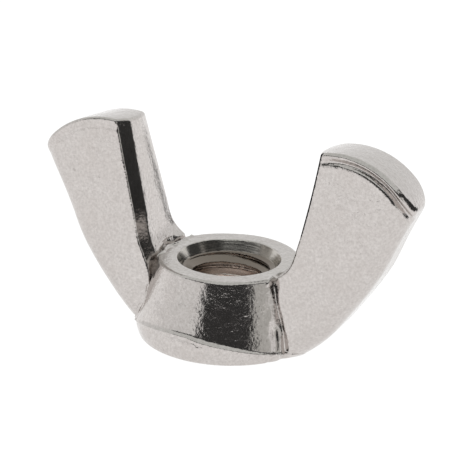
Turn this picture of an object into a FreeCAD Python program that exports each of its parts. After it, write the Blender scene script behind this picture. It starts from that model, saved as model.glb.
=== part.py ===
"""Wing nut, M8, cold-forged with edged wings. Millimetres, +Z up.

The origin is the centre of the bearing face. +Z is the thread axis and the wings lie along X.
The real nut is one forging. It is divided here where the wings meet the boss, into three solids
that share their faces: the hub with its tapped hole, and two wings.
"""
import FreeCAD, Part

import math
import os

# Thread: M8 x 1.25, basic profile
HALF_ANGLE = math.radians(30)                # of the thread's V
THREAD_D = 8.0
PITCH = 1.25
THREAD_H = PITCH * math.sqrt(3) / 2          # height of the sharp thread triangle
MINOR_R = THREAD_D / 2 - 5 / 8 * THREAD_H    # radius of the crests of the nut's thread
ROOT_R = THREAD_D / 2 + 0.06                 # cleared a little past the nominal diameter
CREST_FLAT = PITCH / 4
ROOT_FLAT = PITCH / 8
GROOVE_MOUTH = 0.10                          # how far the groove cutter reaches into the drilled hole

# Hub: a boss that narrows upwards from a rounded foot
HUB_H = 7.26
BASE_R = 8.00            # rim of the flat bearing face
FOOT_R = 8.30            # widest ring, at the forging's parting line
FOOT_Z = 1.25
FOOT_BULGE = 0.08        # how far the foot's side bows out past its chord
LAND_R = 6.41            # flat land round the mouth of the thread
RIM_ROUND = 0.15
RIM_MID = 0.25           # how far along the rounding its middle lies, as a part of RIM_ROUND
MOUTH_R = 4.72           # steep lead-in at the top
MOUTH_DEPTH = 1.00
MOUTH_INNER_R = 4.22
UNDER_R = 4.35           # lead-in at the bearing face
UNDER_DEPTH = UNDER_R - MINOR_R

# Wing outline in the XZ plane, for the wing on +X
INNER_CURVE = (
    (5.75, 6.15), (6.42, 7.35), (7.00, 8.50), (7.56, 10.80), (8.10, 13.00), (8.84, 15.80), (9.70, 18.70),
)
CROWN = (13.45, 18.80)
OUTER_CURVE = ((18.00, 15.20), (16.50, 12.00), (14.75, 8.20), (11.85, 4.00), (9.00, 0.95), (6.60, 0.05))

# Wing thickness: it thins towards its top
HALF_T_LOW, LOW_Z = 4.15, 0.50
HALF_T_HIGH, HIGH_Z = 2.60, 18.60
INNER_ROUND = 0.90
OUTER_ROUND = 2.10
TOP_ROUND = 0.40

REACH = 40.0             # past the whole nut, for cutting tools
MARGIN = 1.0             # how far a cutting tool or a blank runs past what it cuts

# How near an edge's middle lies to the outline point that picks it out
INNER_NEAR, OUTER_NEAR, TOP_NEAR = 1.0, 2.4, 1.5


def vec(x, y, z):
    return FreeCAD.Vector(x, y, z)


def xz(point):
    """A point of the wing's outline as a vector in the XZ plane."""
    return vec(point[0], 0, point[1])


def face_of(edges):
    return Part.Face(Part.Wire(edges))


def hub_blank():
    """The boss without its hole, as a solid of revolution."""
    foot_mid = vec((BASE_R + FOOT_R) / 2 + FOOT_BULGE, 0, FOOT_Z / 2)
    side_slope = math.atan2(FOOT_R - LAND_R, HUB_H - FOOT_Z)
    rim_low = vec(LAND_R + RIM_ROUND * math.sin(side_slope), 0, HUB_H - RIM_ROUND * math.cos(side_slope))
    rim_high = vec(LAND_R - RIM_ROUND, 0, HUB_H)
    rim_mid = vec(LAND_R - RIM_MID * RIM_ROUND, 0, HUB_H - RIM_MID * RIM_ROUND)
    edges = [
        Part.LineSegment(vec(0, 0, 0), vec(BASE_R, 0, 0)).toShape(),
        Part.Arc(vec(BASE_R, 0, 0), foot_mid, vec(FOOT_R, 0, FOOT_Z)).toShape(),
        Part.LineSegment(vec(FOOT_R, 0, FOOT_Z), rim_low).toShape(),
        Part.Arc(rim_low, rim_mid, rim_high).toShape(),
        Part.LineSegment(rim_high, vec(0, 0, HUB_H)).toShape(),
        Part.LineSegment(vec(0, 0, HUB_H), vec(0, 0, 0)).toShape(),
    ]
    return face_of(edges).revolve(vec(0, 0, 0), vec(0, 0, 1), 360)


def tap_drill():
    """The hole before tapping, with a steep lead-in at the top and a 45 degree one below."""
    ledge_low = HUB_H - MOUTH_DEPTH - (MOUTH_INNER_R - MINOR_R) * math.tan(HALF_ANGLE)
    profile = [
        vec(0, 0, -MARGIN),
        vec(UNDER_R, 0, -MARGIN),
        vec(UNDER_R, 0, 0),
        vec(MINOR_R, 0, UNDER_DEPTH),
        vec(MINOR_R, 0, ledge_low),
        vec(MOUTH_INNER_R, 0, HUB_H - MOUTH_DEPTH),
        vec(MOUTH_R, 0, HUB_H),
        vec(MOUTH_R, 0, HUB_H + MARGIN),
        vec(0, 0, HUB_H + MARGIN),
        vec(0, 0, -MARGIN),
    ]
    return Part.Face(Part.makePolygon(profile)).revolve(vec(0, 0, 0), vec(0, 0, 1), 360)


def thread_groove():
    """The V-shaped helical groove that the tap cuts, running past both ends of the hub."""
    start = -2 * PITCH
    spine = Part.makeLongHelix(PITCH, HUB_H + 3 * PITCH, MINOR_R)
    spine.translate(vec(0, 0, start))
    mouth_r = MINOR_R - GROOVE_MOUTH
    half_mouth = (PITCH - CREST_FLAT) / 2 + GROOVE_MOUTH * math.tan(HALF_ANGLE)
    half_root = ROOT_FLAT / 2
    corners = [
        vec(mouth_r, 0, start - half_mouth),
        vec(ROOT_R, 0, start - half_root),
        vec(ROOT_R, 0, start + half_root),
        vec(mouth_r, 0, start + half_mouth),
        vec(mouth_r, 0, start - half_mouth),
    ]
    return Part.Wire(spine.Edges).makePipeShell([Part.makePolygon(corners)], True, True)


def divided_at_quarter_turns(solid):
    """The same solid with its faces divided every quarter turn, so no strip of thread winds right round."""
    quarters = []
    for x in (-REACH, 0):
        for y in (-REACH, 0):
            quarters.append(solid.common(Part.makeBox(REACH, REACH, REACH, vec(x, y, -MARGIN))))
    return quarters[0].multiFuse(quarters[1:])


def smooth_edge(points):
    """One smooth curve through outline points."""
    curve = Part.BSplineCurve()
    curve.interpolate([xz(point) for point in points])
    return curve.toShape()


def wing_slab():
    """The +X wing's outline carried through the full thickness, before it is thinned."""
    outline = [
        Part.LineSegment(xz(OUTER_CURVE[-1]), xz(INNER_CURVE[0])).toShape(),
        smooth_edge(INNER_CURVE),
        Part.Arc(xz(INNER_CURVE[-1]), xz(CROWN), xz(OUTER_CURVE[0])).toShape(),
        smooth_edge(OUTER_CURVE),
    ]
    half_width = HALF_T_LOW + MARGIN
    slab = face_of(outline).extrude(vec(0, 2 * half_width, 0))
    slab.translate(vec(0, -half_width, 0))
    return slab


def draft_wedge():
    """A wedge whose two sides are the wing's flanks, closer together at the top."""
    slope = (HALF_T_HIGH - HALF_T_LOW) / (HIGH_Z - LOW_Z)
    bottom, top = -MARGIN, HIGH_Z + MARGIN
    low = HALF_T_LOW + slope * (bottom - LOW_Z)
    high = HALF_T_LOW + slope * (top - LOW_Z)
    section = Part.Face(Part.makePolygon([
        vec(0, -low, bottom),
        vec(0, low, bottom),
        vec(0, high, top),
        vec(0, -high, top),
        vec(0, -low, bottom),
    ]))
    return section.extrude(vec(REACH, 0, 0))


def edges_near(solid, points, tolerance):
    """The solid's edges whose middle lies near one of these outline points, on either flank."""
    found = []
    for edge in solid.Edges:
        middle = edge.valueAt((edge.FirstParameter + edge.LastParameter) / 2)
        for x, z in points:
            if abs(middle.y) > MARGIN and math.hypot(middle.x - x, middle.z - z) < tolerance:
                found.append(edge)
                break
    return found


def wing(blank):
    """The +X wing: thinned upwards, edges rounded, and cut away where the hub is."""
    body = wing_slab().common(draft_wedge())
    body = body.makeFillet(INNER_ROUND, edges_near(body, INNER_CURVE[2:5], INNER_NEAR))
    body = body.makeFillet(OUTER_ROUND, edges_near(body, OUTER_CURVE[1:5], OUTER_NEAR))
    body = body.makeFillet(TOP_ROUND, edges_near(body, [CROWN], TOP_NEAR))
    return body.cut(blank)


def main_solid(shape):
    """The largest solid of a shape, which drops any sliver that a cut leaves."""
    return max(shape.Solids, key=lambda solid: solid.Volume)


def save(name, shape):
    shape.exportStep(os.path.join("parts", name + ".step"))
    box = shape.BoundBox
    print(name, "valid", shape.isValid(), "volume", round(shape.Volume, 2),
          "box", [round(v, 2) for v in (box.XMin, box.XMax, box.YMin, box.YMax, box.ZMin, box.ZMax)])


def main():
    os.makedirs("parts", exist_ok=True)
    blank = hub_blank()
    tapped = main_solid(blank.cut(tap_drill()).cut(thread_groove()))
    hub = main_solid(divided_at_quarter_turns(tapped))
    right = main_solid(wing(blank))
    left = right.copy()
    left.rotate(vec(0, 0, 0), vec(0, 0, 1), 180)
    save("hub", hub)
    save("wing_right", right)
    save("wing_left", left)


main()
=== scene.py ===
import math

import bpy
import numpy as np
from mathutils import Matrix, Vector


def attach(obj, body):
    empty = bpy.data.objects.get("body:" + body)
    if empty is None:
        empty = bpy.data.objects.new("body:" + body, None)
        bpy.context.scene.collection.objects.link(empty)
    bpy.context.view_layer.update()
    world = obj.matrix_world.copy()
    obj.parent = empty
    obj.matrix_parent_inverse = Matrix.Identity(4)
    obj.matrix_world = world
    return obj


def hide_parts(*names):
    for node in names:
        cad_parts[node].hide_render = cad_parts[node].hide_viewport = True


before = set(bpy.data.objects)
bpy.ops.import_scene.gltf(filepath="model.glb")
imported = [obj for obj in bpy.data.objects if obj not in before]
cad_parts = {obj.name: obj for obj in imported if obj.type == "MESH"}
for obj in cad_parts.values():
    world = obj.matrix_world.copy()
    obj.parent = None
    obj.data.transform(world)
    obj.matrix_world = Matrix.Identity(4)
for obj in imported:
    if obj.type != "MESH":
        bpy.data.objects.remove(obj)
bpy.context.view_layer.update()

MM = 0.001

# ---------------------------------------------------------------- dimensions, mm

STEP = 0.105     # size of the sampling cells
NORMAL_STEP = 0.02                       # how far apart the surface's slope is measured
SPACE_LOW, SPACE_HIGH = (-18.9, -8.7, -0.4), (18.9, 8.7, 19.6)
SLICE = 24                               # layers of cells worked out at a time
SETTLE_ROUNDS, LONGEST_MOVE = 3, 0.4     # a point moves by at most this part of a cell each round
FLATTEST, TINY = 0.05, 1e-9              # guards against dividing by nothing

# Thread, M8 x 1.25
PITCH = 1.25
MINOR_R = 3.3235
ROOT_R = 4.06
ROOT_FLAT = PITCH / 8
THREAD_TAN = math.tan(math.radians(30))

# Boss
HUB_H = 7.26
LAND_R = 6.41
CONE_R, CONE_Z = 8.12, 2.0               # a point low on the cone
BASE_R = 8.00
FOOT_RISE, FOOT_CURVE = 0.50, 0.20       # the foot's radius swells upwards, then less and less
FOOT_TOP = 2.6
FOOT_PROUD = 0.12                        # the most that the foot stands out past the cone
RING_Z, RING_RISE, RING_SKEW = 0.60, 1.70, 0.31      # the foot's upper edge: at the wings, its rise, its skew
RING_BLEND = 0.12
BEAD_HEIGHT, BEAD_WIDTH = 0.10, 0.15     # the bead along the foot's upper edge
RIM_ROUND = 0.22
BASE_ROUND = 0.25

# Hole
MOUTH_R = 4.72
MOUTH_INNER_R = 4.22
MOUTH_DEPTH = 1.00
MOUTH_ABOVE = 0.3                        # how far the mouth's cone runs on above the land
LEDGE_SLOPE = 3.0                        # fall in radius per mm of depth, below the mouth
UNDER_R = 4.35
HOLE_ROUND = 0.06
HOLE_INSET, BASE_INSET = 0.03, 0.02      # the machined finish starts this far inside the hole
WING_INSET = 0.3                         # a wing's faces start this far inside the land's edge

# Wing outline: its inner and outer edges, as heights and distances from the axis
INNER_Z = (-2.0, 4.0, 6.6, 7.4, 8.5, 10.8, 13.0, 15.8, 18.7, 21.0)
INNER_X = (5.0, 5.5, 6.05, 6.38, 6.86, 7.40, 7.95, 8.67, 9.40, 9.98)
OUTER_Z = (-1.0, 0.2, 1.0, 2.2, 4.0, 8.2, 12.0, 15.2, 17.0, 21.0)
OUTER_X = (7.2, 8.15, 9.05, 10.3, 11.85, 14.72, 16.45, 18.00, 18.80, 20.4)
CROWN_X, CROWN_Z, CROWN_R = 11.10, 11.62, 7.55       # the arc along the top
CROWN_DOME, CROWN_TILT = 0.03, 0.10      # how it falls towards both flanks, and towards +Y
HALF_T_LOW, LOW_Z = 4.15, 0.5            # half the wing's thickness low down, and high up
HALF_T_HIGH, HIGH_Z = 2.60, 18.6

# Wing surfaces
FACET_WIDTH, FACET_SLOPE, FACET_BLEND = 1.4, 0.36, 0.02    # a flat along one corner of the inner edge
BULGE_FACET, BULGE_PLAIN = 0.12, 0.50    # how the inner edge rounds, on the facet's side and on the other
FLARE, FLARE_Z, FLARE_FADE = 0.20, 7.45, 0.70        # the wing's foot spreads on to the land
FLANK_SWELL, FLANK_FALL = 0.08, 0.10     # the flanks are fullest near their middle
FLANK_MID_X, FLANK_REACH = 12.0, 4.0
FACET_ROUND, PLAIN_ROUND, CROWN_ROUND = 0.12, 0.30, 0.22
OUTER_ROUND_LOW, OUTER_ROUND_HIGH = 2.6, 2.1
OUTER_ROUND_Z, OUTER_ROUND_RISE = 0.5, 7.0

# How the two wings differ
LEAN, LEAN_POWER = 0.52, 1.5             # the top of the right wing's inner edge leans in
LEAN_Z, LEAN_RISE, LEAN_MOST = 11.0, 7.5, 1.1
OUTER_LEFT, OUTER_RIGHT = -0.66, 0.10    # shift of each outer edge, fading out towards its top
OUTER_TOP_Z, OUTER_FADE = 17.0, 7.0
HEEL, HEEL_Z, HEEL_HEIGHT = 0.30, 1.5, 2.5           # the right wing is fuller at its foot

# Lip under the crown on the front flanks, and the groove below it
LIP_LEFT, LIP_RIGHT = 0.03, 0.08
LIP_GROWTH, LIP_X = 0.035, 9.0           # the right wing's lip grows outwards from here
LIP_DOWN, LIP_WIDTH = 0.32, 0.26
GROOVE_DOWN, GROOVE_WIDTH, GROOVE_DEPTH = 0.82, 0.24, 1.1    # its depth is a multiple of the lip's

# Where a wing meets the boss
PUNCH_INSET, PUNCH_SLOPE, PUNCH_MOST = 0.15, 0.6, 0.25       # the wings are cut back round the land
PUNCH_ROUND = 0.10
FILLET = 0.15
CREASE_DEPTH, CREASE_WIDTH = 0.20, 0.20
FOLD_DEPTH, FOLD_WIDTH, FOLD_OUT, FOLD_LEAN = 0.06, 0.16, 0.95, 0.12
FOLD_TOP_Z, FOLD_FADE = 5.5, 3.0
WRINKLE_OUT, WRINKLE_WIDTH, WRINKLE_STRETCH = 0.2, 0.55, 0.35
RIDGE_HEIGHT, RIDGE_OUT, RIDGE_WIDTH = 0.14, 0.42, 0.17
RIDGE_Z, RIDGE_FADE = 6.7, 0.5

# Unevenness of the forging: height of the waves, their length and a seed
RING_WAVES = (0.05, 3.0, 6)
CONE_WAVES = (0.05, 9.0, 3)
LAND_WAVES = (0.02, 5.0, 4)
FLANK_WAVES = (0.05, 7.0, 5)
CREASE_WAVES = (0.22, 2.4, 7)
WRINKLE_WAVES = (0.045, 0.9, 11)
WAVE_COUNT, WAVE_PHASE = 6, 6.28         # sine waves in each pattern, and the range of their phases

# Rough cosines of the slopes, which turn a distance measured sideways into a true one
CONE_COS, INNER_COS, OUTER_COS, PUNCH_COS = 0.92, 0.93, 0.85, 0.85
THREAD_COS, MOUTH_COS = 0.6, 0.7


# ---------------------------------------------------------------- shape as a distance function

def smooth_table(values, xs, ys):
    """A smooth curve through a few points: cubic Hermite with averaged slopes."""
    xs = np.asarray(xs, np.float32)
    ys = np.asarray(ys, np.float32)
    slopes = np.gradient(ys, xs)
    i = np.clip(np.searchsorted(xs, values) - 1, 0, len(xs) - 2)
    gap = xs[i + 1] - xs[i]
    t = np.clip((values - xs[i]) / gap, 0, 1)
    t2 = t * t
    t3 = t2 * t
    return ((2 * t3 - 3 * t2 + 1) * ys[i] + (t3 - 2 * t2 + t) * gap * slopes[i]
            + (3 * t2 - 2 * t3) * ys[i + 1] + (t3 - t2) * gap * slopes[i + 1])


def round_max(a, b, radius):
    """The overlap of two solids with their shared edge rounded to a radius."""
    u = np.maximum(a + radius, 0)
    v = np.maximum(b + radius, 0)
    return np.minimum(np.maximum(a, b), -radius) + np.sqrt(u * u + v * v)


def round_min(a, b, radius):
    """The union of two solids with a fillet of a radius between them."""
    return -round_max(-a, -b, radius)


def bell(t):
    """A smooth bump, one at zero and gone past about two."""
    return np.exp(-t * t)


def waves(x, y, z, height, length, seed):
    """Soft, irregular hills and hollows, from a few sine waves in random directions."""
    rng = np.random.default_rng(seed)
    total = 0
    for _ in range(WAVE_COUNT):
        direction = rng.normal(size=3)
        direction *= 2 * math.pi / length / np.linalg.norm(direction)
        phase = rng.uniform(0, WAVE_PHASE)
        total = total + np.sin(x * direction[0] + y * direction[1] + z * direction[2] + phase)
    return height * (total / (WAVE_COUNT / 2))


def hub_outside(x, y, z):
    """The boss without its hole."""
    r = np.sqrt(x * x + y * y)
    turn = np.arctan2(y, x)
    ring_z = RING_Z + RING_RISE * np.sin(turn) ** 2 + RING_SKEW * np.sin(2 * turn)
    ring_z = ring_z + waves(x, y, z, *RING_WAVES)
    cone_slope = (CONE_R - LAND_R) / (HUB_H - CONE_Z)
    cone_r = LAND_R + cone_slope * (HUB_H - z) + waves(x, y, z, *CONE_WAVES)
    low_z = np.clip(z, 0, FOOT_TOP)
    foot_r = BASE_R + FOOT_RISE * low_z - FOOT_CURVE * low_z ** 2
    foot_r = np.minimum(foot_r, cone_r + FOOT_PROUD)
    below = np.clip((ring_z - z) / RING_BLEND + 0.5, 0, 1)
    side_r = cone_r + (foot_r - cone_r) * below + BEAD_HEIGHT * bell((z - ring_z) / BEAD_WIDTH)
    body = (r - side_r) * CONE_COS
    top = z - HUB_H + waves(x, y, z, *LAND_WAVES)
    return round_max(body, top, RIM_ROUND)


def wing_outside(x, y, z, side):
    """One wing before it meets the boss.

    x points out along the wing, and y is turned with it. side is 1 for the right wing and -1 for the left.
    """
    right = (1 + side) / 2
    half = HALF_T_LOW + (HALF_T_HIGH - HALF_T_LOW) * (z - LOW_Z) / (HIGH_Z - LOW_Z)
    across = y / half

    edge_x = smooth_table(z, INNER_Z, INNER_X)
    flare = np.exp(-np.maximum(z - FLARE_Z, 0) / FLARE_FADE)
    edge_x = edge_x - FLARE * (1 - np.minimum(y, 1.0)) * flare
    edge_x = edge_x - LEAN * right * np.clip((z - LEAN_Z) / LEAN_RISE, 0, LEAN_MOST) ** LEAN_POWER
    past = y - (half - FACET_WIDTH)
    facet = FACET_SLOPE * (past + np.sqrt(past * past + FACET_BLEND)) / 2
    bulge = np.where(y > 0, BULGE_FACET, BULGE_PLAIN) * across ** 2
    inner = (edge_x + bulge + facet - x) * INNER_COS

    outer_x = smooth_table(z, OUTER_Z, OUTER_X)
    shift = OUTER_LEFT + (OUTER_RIGHT - OUTER_LEFT) * right
    outer_x = outer_x + shift * np.clip((OUTER_TOP_Z - z) / OUTER_FADE, 0, 1)
    outer_x = outer_x + HEEL * right * bell((z - HEEL_Z) / HEEL_HEIGHT)
    outer = (x - outer_x) * OUTER_COS

    crown_r = np.sqrt((x - CROWN_X) ** 2 + np.maximum(z - CROWN_Z, 0) ** 2)
    crown = crown_r - CROWN_R + CROWN_DOME * across ** 2 + CROWN_TILT * y * side

    flank = np.abs(y) - half - FLANK_SWELL + FLANK_FALL * ((x - FLANK_MID_X) / FLANK_REACH) ** 2
    flank = flank + waves(x, y, z, *FLANK_WAVES)
    lip = np.where(side > 0, LIP_RIGHT + LIP_GROWTH * np.maximum(x - LIP_X, 0), LIP_LEFT)
    lip = lip * np.clip(0.5 - y * side, 0, 1)
    flank = flank - lip * bell((crown + LIP_DOWN) / LIP_WIDTH)
    flank = flank + GROOVE_DEPTH * lip * bell((crown + GROOVE_DOWN) / GROOVE_WIDTH)

    slab = round_max(flank, inner, np.where(y > 0, FACET_ROUND, PLAIN_ROUND))
    rise = np.clip((z - OUTER_ROUND_Z) / OUTER_ROUND_RISE, 0, 1)
    slab = round_max(slab, outer, OUTER_ROUND_LOW + (OUTER_ROUND_HIGH - OUTER_ROUND_LOW) * rise)
    return round_max(slab, crown, CROWN_ROUND)


def hole_inside(x, y, z):
    """The tapped hole, with its mouth and its lead-in underneath."""
    r = np.sqrt(x * x + y * y)
    turn = np.arctan2(y, x) / (2 * math.pi)
    along = (z / PITCH - turn) % 1.0
    off = np.abs(along - 0.5) * PITCH
    groove_r = ROOT_R - np.maximum(off - ROOT_FLAT / 2, 0) / THREAD_TAN
    bore = (r - np.maximum(MINOR_R, groove_r)) * THREAD_COS
    mouth_slope = (MOUTH_R - MOUTH_INNER_R) / MOUTH_DEPTH
    below_land = np.minimum(z - HUB_H, MOUTH_ABOVE)
    mouth_r = np.where(below_land > -MOUTH_DEPTH, MOUTH_R + mouth_slope * below_land,
                       MOUTH_INNER_R + LEDGE_SLOPE * (below_land + MOUTH_DEPTH))
    mouth = (r - mouth_r) * MOUTH_COS
    under = (r + z - UNDER_R) * MOUTH_COS
    return np.minimum(np.minimum(bore, mouth), under)


def whole(x, y, z):
    """The whole nut, and how much nearer each point is to a wing than to the boss."""
    side = np.where(x < 0, -1.0, 1.0).astype(np.float32)
    wing = wing_outside(x * side, y * side, z, side)
    r = np.sqrt(x * x + y * y)
    punch_r = LAND_R - PUNCH_INSET + np.clip(PUNCH_SLOPE * (z - HUB_H), 0, PUNCH_MOST)
    wing = round_max(wing, (punch_r - r) * PUNCH_COS, PUNCH_ROUND)
    hub = hub_outside(x, y, z)

    apart = wing - hub + waves(x, y, z, *CREASE_WAVES)
    crease = CREASE_DEPTH * bell(apart / CREASE_WIDTH)
    low = np.clip((FOLD_TOP_Z - z) / FOLD_FADE, 0, 1)
    fold = FOLD_DEPTH * low * bell((apart - FOLD_OUT + FOLD_LEAN * z) / FOLD_WIDTH)
    wrinkle = waves(x, y, WRINKLE_STRETCH * z, *WRINKLE_WAVES) * bell((apart - WRINKLE_OUT) / WRINKLE_WIDTH)
    high = np.clip((z - RIDGE_Z) / RIDGE_FADE, 0, 1)
    ridge = RIDGE_HEIGHT * high * bell((apart - RIDGE_OUT) / RIDGE_WIDTH)

    body = round_min(wing, hub, FILLET) + crease + fold + wrinkle - ridge
    body = round_max(body, -z, BASE_ROUND)
    return round_max(body, -hole_inside(x, y, z), HOLE_ROUND), wing - hub


# ---------------------------------------------------------------- surface from the distance function

def surface(low, high):
    """A closed mesh of quads where the distance is zero, for a box of space."""
    axes = [np.arange(a, b, STEP, dtype=np.float32) for a, b in zip(low, high)]
    nx, ny, nz = (len(a) for a in axes)
    field = np.empty((nx, ny, nz), np.float32)
    for i in range(0, nx, SLICE):
        gx, gy, gz = np.meshgrid(axes[0][i:i + SLICE], axes[1], axes[2], indexing="ij")
        field[i:i + SLICE] = whole(gx, gy, gz)[0]
    inside = field < 0
    corners = [(a, b, c) for a in (0, 1) for b in (0, 1) for c in (0, 1)]
    count = sum(inside[a:nx - 1 + a, b:ny - 1 + b, c:nz - 1 + c].astype(np.int8) for a, b, c in corners)
    cells = np.argwhere((count > 0) & (count < len(corners)))
    index = np.full((nx - 1, ny - 1, nz - 1), -1, np.int32)
    index[tuple(cells.T)] = np.arange(len(cells))

    total = np.zeros((len(cells), 3), np.float32)
    hits = np.zeros(len(cells), np.float32)
    for axis in range(3):
        for corner in corners:
            if corner[axis]:
                continue
            start = cells + corner
            end = start.copy()
            end[:, axis] += 1
            f0 = field[tuple(start.T)]
            f1 = field[tuple(end.T)]
            cut = (f0 < 0) != (f1 < 0)
            t = np.where(cut, f0 / np.where(cut, f0 - f1, 1), 0)
            point = start.astype(np.float32)
            point[:, axis] += t
            total += point * cut[:, None]
            hits += cut
    verts = total / hits[:, None] * STEP + np.array([a[0] for a in axes], np.float32)

    quads = []
    for axis in range(3):
        u, v = (axis + 1) % 3, (axis + 2) % 3
        ahead = [slice(None)] * 3
        ahead[axis] = slice(1, None)
        behind = [slice(None)] * 3
        behind[axis] = slice(None, -1)
        change = inside[tuple(ahead)] != inside[tuple(behind)]
        at = np.argwhere(change)
        at = at[(at[:, u] > 0) & (at[:, v] > 0)]
        ring = []
        for du, dv in ((-1, -1), (0, -1), (0, 0), (-1, 0)):
            cell = at.copy()
            cell[:, u] += du
            cell[:, v] += dv
            ring.append(index[tuple(cell.T)])
        quad = np.stack(ring, 1)
        leaving = inside[tuple(at.T)]
        quad[~leaving] = quad[~leaving][:, ::-1]
        quads.append(quad)
    return verts, np.concatenate(quads)


def gradient(points):
    """The direction out of the surface at each point."""
    sides = []
    for axis in range(3):
        shift = np.zeros(3, np.float64)
        shift[axis] = NORMAL_STEP
        ahead = whole(*(points + shift).T)[0]
        behind = whole(*(points - shift).T)[0]
        sides.append((ahead - behind) / (2 * NORMAL_STEP))
    return np.stack(sides, 1)


def settle(verts):
    """Moves the points onto the exact surface, and returns them with their normals."""
    verts = verts.astype(np.float64)
    for _ in range(SETTLE_ROUNDS):
        slope = gradient(verts)
        size = np.maximum((slope ** 2).sum(1), FLATTEST)
        move = -whole(*verts.T)[0][:, None] * slope / size[:, None]
        length = np.linalg.norm(move, axis=1, keepdims=True)
        verts += move * np.minimum(1, LONGEST_MOVE * STEP / np.maximum(length, TINY))
    slope = gradient(verts)
    return verts, slope / np.maximum(np.linalg.norm(slope, axis=1, keepdims=True), TINY)


def make_piece(name, verts, normals, quads, material):
    """One named mesh object from some of the surface's quads."""
    used, faces = np.unique(quads, return_inverse=True)
    faces = faces.reshape(quads.shape)
    mesh = bpy.data.meshes.new(name)
    mesh.vertices.add(len(used))
    mesh.vertices.foreach_set("co", (verts[used] * MM).astype(np.float32).ravel())
    mesh.loops.add(faces.size)
    mesh.loops.foreach_set("vertex_index", faces.astype(np.int32).ravel())
    mesh.polygons.add(len(faces))
    mesh.polygons.foreach_set("loop_start", np.arange(0, faces.size, faces.shape[1], dtype=np.int32))
    mesh.update(calc_edges=True)
    mesh.validate()
    mesh.polygons.foreach_set("use_smooth", np.ones(len(mesh.polygons), bool))
    if len(mesh.vertices) == len(used):
        mesh.normals_split_custom_set_from_vertices(normals[used].tolist())
    mesh.materials.append(material)
    piece = bpy.data.objects.new(name, mesh)
    bpy.context.scene.collection.objects.link(piece)
    return piece


# ---------------------------------------------------------------- material

MIX_FACTOR, MIX_A, MIX_B, MIX_RESULT = 0, 6, 7, 2     # sockets of a colour Mix node


def node(tree, kind, **inputs):
    """A new shader node with some of its inputs set. An underscore stands for a space."""
    made = tree.nodes.new(kind)
    for key, value in inputs.items():
        made.inputs[key.replace("_", " ")].default_value = value
    return made


def bright_metal():
    """Bright plated steel: nearly white, with soft mottling, fine grain and shallow dents."""
    material = bpy.data.materials.new("bright_metal")
    material.use_nodes = True
    tree = material.node_tree
    link = tree.links.new
    shader = tree.nodes["Principled BSDF"]
    shader.inputs["Metallic"].default_value = 1.0
    place = tree.nodes.new("ShaderNodeTexCoord")

    mottle = node(tree, "ShaderNodeTexNoise", Scale=4200.0, Detail=3.0, Roughness=0.6)
    link(place.outputs["Object"], mottle.inputs["Vector"])
    tint = tree.nodes.new("ShaderNodeValToRGB")
    tint.color_ramp.elements[0].position = 0.30
    tint.color_ramp.elements[0].color = (0.49, 0.458, 0.440, 1)
    tint.color_ramp.elements[1].position = 0.70
    tint.color_ramp.elements[1].color = (0.64, 0.605, 0.585, 1)
    link(mottle.outputs["Fac"], tint.inputs["Fac"])

    patches = node(tree, "ShaderNodeTexNoise", Scale=420.0, Detail=4.0, Roughness=0.6)
    link(place.outputs["Object"], patches.inputs["Vector"])
    marks = node(tree, "ShaderNodeTexNoise", Scale=1500.0, Detail=8.0, Roughness=0.8, Distortion=1.6)
    link(place.outputs["Object"], marks.inputs["Vector"])
    mixed = tint.outputs["Color"]
    for source, low, high, amount, colour in (
        (patches, 0.35, 0.75, 0.35, (0.50, 0.455, 0.43, 1)),
        (marks, 0.59, 0.68, 0.70, (0.30, 0.275, 0.26, 1)),
    ):
        mask = node(tree, "ShaderNodeMapRange", From_Min=low, From_Max=high, To_Max=amount)
        link(source.outputs["Fac"], mask.inputs["Value"])
        mix = tree.nodes.new("ShaderNodeMix")
        mix.data_type = "RGBA"
        mix.inputs[MIX_B].default_value = colour
        link(mask.outputs["Result"], mix.inputs[MIX_FACTOR])
        link(mixed, mix.inputs[MIX_A])
        mixed = mix.outputs[MIX_RESULT]
    link(mixed, shader.inputs["Base Color"])

    haze = node(tree, "ShaderNodeTexNoise", Scale=900.0, Detail=4.0, Roughness=0.6)
    link(place.outputs["Object"], haze.inputs["Vector"])
    rough = tree.nodes.new("ShaderNodeMapRange")
    rough.inputs["From Min"].default_value = 0.3
    rough.inputs["From Max"].default_value = 0.7
    rough.inputs["To Min"].default_value = 0.06
    rough.inputs["To Max"].default_value = 0.15
    link(haze.outputs["Fac"], rough.inputs["Value"])
    link(rough.outputs["Result"], shader.inputs["Roughness"])

    grain = node(tree, "ShaderNodeTexNoise", Scale=3600.0, Detail=3.0, Roughness=0.6)
    link(place.outputs["Object"], grain.inputs["Vector"])
    dents = node(tree, "ShaderNodeTexNoise", Scale=800.0, Detail=3.0, Roughness=0.5)
    link(place.outputs["Object"], dents.inputs["Vector"])
    fine = tree.nodes.new("ShaderNodeBump")
    fine.inputs["Strength"].default_value = 0.8
    fine.inputs["Distance"].default_value = 0.00003
    link(grain.outputs["Fac"], fine.inputs["Height"])
    coarse = tree.nodes.new("ShaderNodeBump")
    coarse.inputs["Strength"].default_value = 0.5
    coarse.inputs["Distance"].default_value = 0.00012
    link(dents.outputs["Fac"], coarse.inputs["Height"])
    link(fine.outputs["Normal"], coarse.inputs["Normal"])
    link(coarse.outputs["Normal"], shader.inputs["Normal"])
    return material


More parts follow.
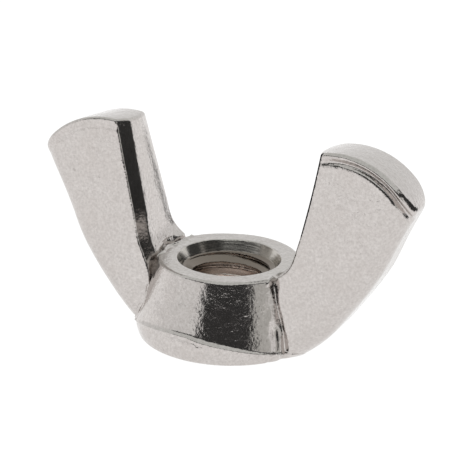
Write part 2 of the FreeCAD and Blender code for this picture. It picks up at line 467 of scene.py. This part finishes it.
def machined_metal():
    """The tapped hole and its chamfers: fine turning lines, with colour by height that is painted light and
    shade: a dark brown band of painted shade just below the mouth, and painted light that brightens the
    thread lower down.
    """
    material = bpy.data.materials.new("machined_metal")
    material.use_nodes = True
    tree = material.node_tree
    link = tree.links.new
    shader = tree.nodes["Principled BSDF"]
    shader.inputs["Metallic"].default_value = 1.0
    place = tree.nodes.new("ShaderNodeTexCoord")
    split = tree.nodes.new("ShaderNodeSeparateXYZ")
    link(place.outputs["Object"], split.inputs["Vector"])

    # Painted light and shade by height: a dark brown band of painted shade from about 5 mm up to the mouth's
    # ledge, and painted light that makes the thread below 4.5 mm brighter
    painted_light_and_shade_by_height = tree.nodes.new("ShaderNodeMapRange")
    painted_light_and_shade_by_height.inputs["From Min"].default_value = 4.5 * MM
    painted_light_and_shade_by_height.inputs["From Max"].default_value = 6.5 * MM
    link(split.outputs["Z"], painted_light_and_shade_by_height.inputs["Value"])
    tint = tree.nodes.new("ShaderNodeValToRGB")
    tint.color_ramp.elements[0].color = (0.78, 0.71, 0.665, 1)
    tint.color_ramp.elements[1].color = (0.60, 0.57, 0.53, 1)
    for position, colour in (
        (0.28, (0.24, 0.205, 0.178, 1)),
        (0.88, (0.22, 0.188, 0.162, 1)),
        (0.91, (0.58, 0.55, 0.51, 1)),
    ):
        tint.color_ramp.elements.new(position).color = colour
    link(painted_light_and_shade_by_height.outputs["Result"], tint.inputs["Fac"])
    link(tint.outputs["Color"], shader.inputs["Base Color"])

    stretch = tree.nodes.new("ShaderNodeMapping")
    stretch.inputs["Scale"].default_value = (150.0, 150.0, 9000.0)
    link(place.outputs["Object"], stretch.inputs["Vector"])
    lines = node(tree, "ShaderNodeTexNoise", Scale=1.0, Detail=3.0, Roughness=0.6)
    link(stretch.outputs["Vector"], lines.inputs["Vector"])
    rough = tree.nodes.new("ShaderNodeMapRange")
    rough.inputs["To Min"].default_value = 0.12
    rough.inputs["To Max"].default_value = 0.26
    link(lines.outputs["Fac"], rough.inputs["Value"])
    link(rough.outputs["Result"], shader.inputs["Roughness"])
    bump = tree.nodes.new("ShaderNodeBump")
    bump.inputs["Strength"].default_value = 0.5
    bump.inputs["Distance"].default_value = 0.00002
    link(lines.outputs["Fac"], bump.inputs["Height"])
    link(bump.outputs["Normal"], shader.inputs["Normal"])
    return material


def build_nut():
    """The boss and the two wings, as three pieces of one closed surface."""
    metal = bright_metal()
    cut_metal = machined_metal()
    verts, quads = surface(SPACE_LOW, SPACE_HIGH)
    verts, normals = settle(verts)
    middle = verts[quads].mean(1)
    nearer = whole(*middle.T)[1]
    radius = np.hypot(middle[:, 0], middle[:, 1])
    on_wing = (nearer < 0) & (radius > LAND_R - WING_INSET)
    sides = {
        "hub": ~on_wing,
        "wing_left": on_wing & (middle[:, 0] < 0),
        "wing_right": on_wing & (middle[:, 0] >= 0),
    }
    for name, chosen in sides.items():
        piece = make_piece("forged_" + name, verts, normals, quads[chosen], metal)
        if name == "hub":
            piece.data.materials.append(cut_metal)
            in_hole = (radius < MOUTH_R - HOLE_INSET) & (middle[:, 2] > BASE_INSET)
            piece.data.polygons.foreach_set("material_index", in_hole[chosen].astype(np.int32))
        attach(piece, "root")
        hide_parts(name)
        print(name, "faces", len(piece.data.polygons))


# ---------------------------------------------------------------- camera, floor and light

CAMERA_AT = Vector((66.57, -149.76, 69.11))      # mm
CAMERA_AIM = Vector((-0.13, 1.91, 8.53))
CAMERA_ROLL = math.radians(1.543)
LENS, SENSOR = 147.70, 36.0


def add_camera():
    """The camera, aimed at a point and rolled a little."""
    back = (CAMERA_AT - CAMERA_AIM).normalized()
    right = Vector((0, 0, 1)).cross(back).normalized()
    up = back.cross(right)
    rolled_right = right * math.cos(CAMERA_ROLL) + up * math.sin(CAMERA_ROLL)
    rolled_up = up * math.cos(CAMERA_ROLL) - right * math.sin(CAMERA_ROLL)
    data = bpy.data.cameras.new("camera")
    data.sensor_width = SENSOR
    data.lens = LENS
    data.clip_start = 0.01
    data.clip_end = 10.0
    camera = bpy.data.objects.new("camera", data)
    bpy.context.scene.collection.objects.link(camera)
    place = Matrix((rolled_right, rolled_up, back)).transposed().to_4x4()
    place.translation = CAMERA_AT * MM
    camera.matrix_world = place
    bpy.context.scene.camera = camera


FLOOR_HALF = 2.0         # m


def add_floor():
    """A pale floor that glows softly, so that it lights the nut from below."""
    mesh = bpy.data.meshes.new("floor")
    corners = [(x * FLOOR_HALF, y * FLOOR_HALF, 0) for x, y in ((-1, -1), (1, -1), (1, 1), (-1, 1))]
    mesh.from_pydata(corners, [], [(0, 1, 2, 3)])
    floor = bpy.data.objects.new("floor", mesh)
    bpy.context.scene.collection.objects.link(floor)
    material = bpy.data.materials.new("pale_floor")
    material.use_nodes = True
    shader = material.node_tree.nodes["Principled BSDF"]
    shader.inputs["Base Color"].default_value = (0.10, 0.10, 0.10, 1)
    shader.inputs["Roughness"].default_value = 0.9
    shader.inputs["Emission Color"].default_value = (1, 1, 1, 1)
    shader.inputs["Emission Strength"].default_value = 0.97
    mesh.materials.append(material)


def add_world():
    """Even light all round, a little dimmer overhead."""
    world = bpy.data.worlds.new("studio")
    bpy.context.scene.world = world
    world.use_nodes = True
    tree = world.node_tree
    link = tree.links.new
    place = tree.nodes.new("ShaderNodeTexCoord")
    split = tree.nodes.new("ShaderNodeSeparateXYZ")
    link(place.outputs["Generated"], split.inputs["Vector"])
    ramp = tree.nodes.new("ShaderNodeValToRGB")
    ramp.color_ramp.elements[0].position = 0.0
    ramp.color_ramp.elements[0].color = (0.95, 0.95, 0.95, 1)
    ramp.color_ramp.elements[1].position = 1.0
    ramp.color_ramp.elements[1].color = (0.70, 0.73, 0.71, 1)
    link(split.outputs["Z"], ramp.inputs["Fac"])
    link(ramp.outputs["Color"], tree.nodes["Background"].inputs["Color"])
    tree.nodes["Background"].inputs["Strength"].default_value = 1.0


CARD_STEPS = 24          # flat strips in each curved card


def add_card(name, distance, azimuths, heights, colour):
    """A standing card, curved round the nut, that the metal reflects and the camera doesn't see.

    Distance and heights are in mm, and azimuths in degrees from -Y towards +X.
    """
    mesh = bpy.data.meshes.new(name)
    corners = []
    for i in range(CARD_STEPS + 1):
        turn = math.radians(azimuths[0] + (azimuths[1] - azimuths[0]) * i / CARD_STEPS)
        for height in heights:
            corners.append((distance * MM * math.sin(turn), -distance * MM * math.cos(turn), height * MM))
    faces = [(2 * i, 2 * i + 2, 2 * i + 3, 2 * i + 1) for i in range(CARD_STEPS)]
    mesh.from_pydata(corners, [], faces)
    card = bpy.data.objects.new(name, mesh)
    bpy.context.scene.collection.objects.link(card)
    material = bpy.data.materials.new(name)
    material.use_nodes = True
    shader = material.node_tree.nodes["Principled BSDF"]
    shader.inputs["Base Color"].default_value = (*colour, 1)
    shader.inputs["Roughness"].default_value = 0.9
    shader.inputs["Specular IOR Level"].default_value = 0.0
    mesh.materials.append(material)
    card.visible_camera = False
    card.visible_shadow = False
    card.visible_diffuse = False


bpy.context.scene.view_settings.view_transform = "Standard"
build_nut()
add_camera()
add_floor()
add_world()
DARK = (0.045, 0.045, 0.045)
GREY = (0.62, 0.62, 0.60)
add_card("dark_card_front", 480, (-14, 58), (20, 250), DARK)
add_card("dark_card_high", 480, (-55, 122), (205, 380), DARK)
add_card("dark_card_between", 5.8, (50, 128), (11, 22), DARK)
add_card("dark_card_end", 60, (98, 139), (0, 45), DARK)
add_card("dark_card_back", 42, (174, 181), (0, 12), DARK)
add_card("grey_card", 480, (58, 84), (10, 160), GREY)
